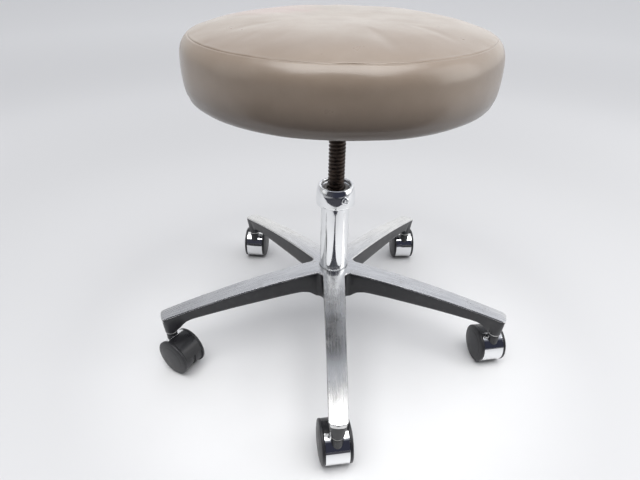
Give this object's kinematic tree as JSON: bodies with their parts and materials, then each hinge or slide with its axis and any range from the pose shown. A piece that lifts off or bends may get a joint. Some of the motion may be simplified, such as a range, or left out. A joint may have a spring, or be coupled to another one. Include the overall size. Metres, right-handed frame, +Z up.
{
  "type": "dental stool",
  "caption": "Round padded stool seat on a screw-lift spindle and chromed column, with a star base of cast legs on hooded twin-wheel casters.",
  "frame": {"origin": "on the column's axis at floor level, under the hub", "axes": "+Z up along the column; -Y towards the front leg"},
  "size_m": [0.502, 0.4972, 0.4645],
  "materials": {
    "vinyl": "satin taupe vinyl with a fine grain",
    "foam": "open-cell foam",
    "plywood": "raw plywood",
    "black_steel": "satin black paint",
    "oiled_steel": "dark oiled thread",
    "zinc_steel": "zinc plated",
    "chrome": "mirror chrome",
    "aluminium_casting": "polished top faces, satin black painted sides",
    "white_nylon": "moulded",
    "black_nylon": "moulded satin",
    "wheel_nylon": "moulded matte"
  },
  "bodies": {
    "base": {"base_casting": "aluminium_casting", "column_tube": "chrome", "column_collar": "chrome", "thread_nut": "zinc_steel", "collar_screw": "chrome", "column_cap": "black_nylon", "socket_front": "zinc_steel", "socket_right": "zinc_steel", "socket_rear_right": "zinc_steel", "socket_rear_left": "zinc_steel", "socket_left": "zinc_steel"},
    "spindle_guide": {"guide_bush": "white_nylon"},
    "seat": {"spindle": "oiled_steel", "guide_washer": "zinc_steel", "guide_screw": "zinc_steel", "seat_plate": "black_steel", "seat_board": "plywood", "seat_screw_1": "zinc_steel", "seat_screw_2": "zinc_steel", "seat_screw_3": "zinc_steel", "seat_screw_4": "zinc_steel", "tee_nut_1": "zinc_steel", "tee_nut_2": "zinc_steel", "tee_nut_3": "zinc_steel", "tee_nut_4": "zinc_steel", "foam_pad": "foam", "cover_top": "vinyl", "cover_band": "vinyl"},
    "caster_front": {"caster_body_front": "black_nylon", "caster_hood_front": "chrome", "caster_stem_front": "zinc_steel", "caster_axle_front": "zinc_steel"},
    "wheel_front_a": {"caster_wheel_front_a": "wheel_nylon"},
    "wheel_front_b": {"caster_wheel_front_b": "wheel_nylon"},
    "caster_right": {"caster_body_right": "black_nylon", "caster_hood_right": "chrome", "caster_stem_right": "zinc_steel", "caster_axle_right": "zinc_steel"},
    "wheel_right_a": {"caster_wheel_right_a": "wheel_nylon"},
    "wheel_right_b": {"caster_wheel_right_b": "wheel_nylon"},
    "caster_rear_right": {"caster_body_rear_right": "black_nylon", "caster_hood_rear_right": "chrome", "caster_stem_rear_right": "zinc_steel", "caster_axle_rear_right": "zinc_steel"},
    "wheel_rear_right_a": {"caster_wheel_rear_right_a": "wheel_nylon"},
    "wheel_rear_right_b": {"caster_wheel_rear_right_b": "wheel_nylon"},
    "caster_rear_left": {"caster_body_rear_left": "black_nylon", "caster_hood_rear_left": "chrome", "caster_stem_rear_left": "zinc_steel", "caster_axle_rear_left": "zinc_steel"},
    "wheel_rear_left_a": {"caster_wheel_rear_left_a": "wheel_nylon"},
    "wheel_rear_left_b": {"caster_wheel_rear_left_b": "wheel_nylon"},
    "caster_left": {"caster_body_left": "black_nylon", "caster_hood_left": "chrome", "caster_stem_left": "zinc_steel", "caster_axle_left": "zinc_steel"},
    "wheel_left_a": {"caster_wheel_left_a": "wheel_nylon"},
    "wheel_left_b": {"caster_wheel_left_b": "wheel_nylon"}
  },
  "joints": [
    {"name": "seat_lift", "type": "slide", "parent": "base", "child": "spindle_guide", "axis": [0, 0, 1], "range_m": [-0.055, 0.055]},
    {"name": "seat_spin", "type": "hinge", "parent": "spindle_guide", "child": "seat", "pos_m": [0, 0, 0.25], "axis": [0, 0, 1], "range_deg": [-3890, 3890]},
    {"name": "swivel_front", "type": "hinge", "parent": "base", "child": "caster_front", "pos_m": [0, -0.243, 0.056], "axis": [0, 0, 1], "continuous": true},
    {"name": "roll_front_a", "type": "hinge", "parent": "caster_front", "child": "wheel_front_a", "pos_m": [-0.00209, -0.22815, 0.027], "axis": [-0.9903, -0.1392, 0], "continuous": true},
    {"name": "roll_front_b", "type": "hinge", "parent": "caster_front", "child": "wheel_front_b", "pos_m": [-0.00209, -0.22815, 0.027], "axis": [-0.9903, -0.1392, 0], "continuous": true},
    {"name": "swivel_right", "type": "hinge", "parent": "base", "child": "caster_right", "pos_m": [0.23111, -0.07509, 0.056], "axis": [0, 0, 1], "continuous": true},
    {"name": "roll_right_a", "type": "hinge", "parent": "caster_right", "child": "wheel_right_a", "pos_m": [0.22876, -0.06028, 0.027], "axis": [-0.9877, -0.1564, 0], "continuous": true},
    {"name": "roll_right_b", "type": "hinge", "parent": "caster_right", "child": "wheel_right_b", "pos_m": [0.22876, -0.06028, 0.027], "axis": [-0.9877, -0.1564, 0], "continuous": true},
    {"name": "swivel_rear_right", "type": "hinge", "parent": "base", "child": "caster_rear_right", "pos_m": [0.14283, 0.19659, 0.056], "axis": [0, 0, 1], "continuous": true},
    {"name": "roll_rear_right_a", "type": "hinge", "parent": "caster_rear_right", "child": "wheel_rear_right_a", "pos_m": [0.14205, 0.21157, 0.027], "axis": [-0.9986, -0.0523, 0], "continuous": true},
    {"name": "roll_rear_right_b", "type": "hinge", "parent": "caster_rear_right", "child": "wheel_rear_right_b", "pos_m": [0.14205, 0.21157, 0.027], "axis": [-0.9986, -0.0523, 0], "continuous": true},
    {"name": "swivel_rear_left", "type": "hinge", "parent": "base", "child": "caster_rear_left", "pos_m": [-0.14283, 0.19659, 0.056], "axis": [0, 0, 1], "continuous": true},
    {"name": "roll_rear_left_a", "type": "hinge", "parent": "caster_rear_left", "child": "wheel_rear_left_a", "pos_m": [-0.14152, 0.21153, 0.027], "axis": [-0.9962, 0.0872, 0], "continuous": true},
    {"name": "roll_rear_left_b", "type": "hinge", "parent": "caster_rear_left", "child": "wheel_rear_left_b", "pos_m": [-0.14152, 0.21153, 0.027], "axis": [-0.9962, 0.0872, 0], "continuous": true},
    {"name": "swivel_left", "type": "hinge", "parent": "base", "child": "caster_left", "pos_m": [-0.23111, -0.07509, 0.056], "axis": [0, 0, 1], "continuous": true},
    {"name": "roll_left_a", "type": "hinge", "parent": "caster_left", "child": "wheel_left_a", "pos_m": [-0.21867, -0.08348, 0.027], "axis": [0.5592, 0.829, 0], "continuous": true},
    {"name": "roll_left_b", "type": "hinge", "parent": "caster_left", "child": "wheel_left_b", "pos_m": [-0.21867, -0.08348, 0.027], "axis": [0.5592, 0.829, 0], "continuous": true}
  ],
  "couplings": [
    {"joint": "seat_lift", "follows": "seat_spin", "m_per_rad": 0.00080851}
  ]
}
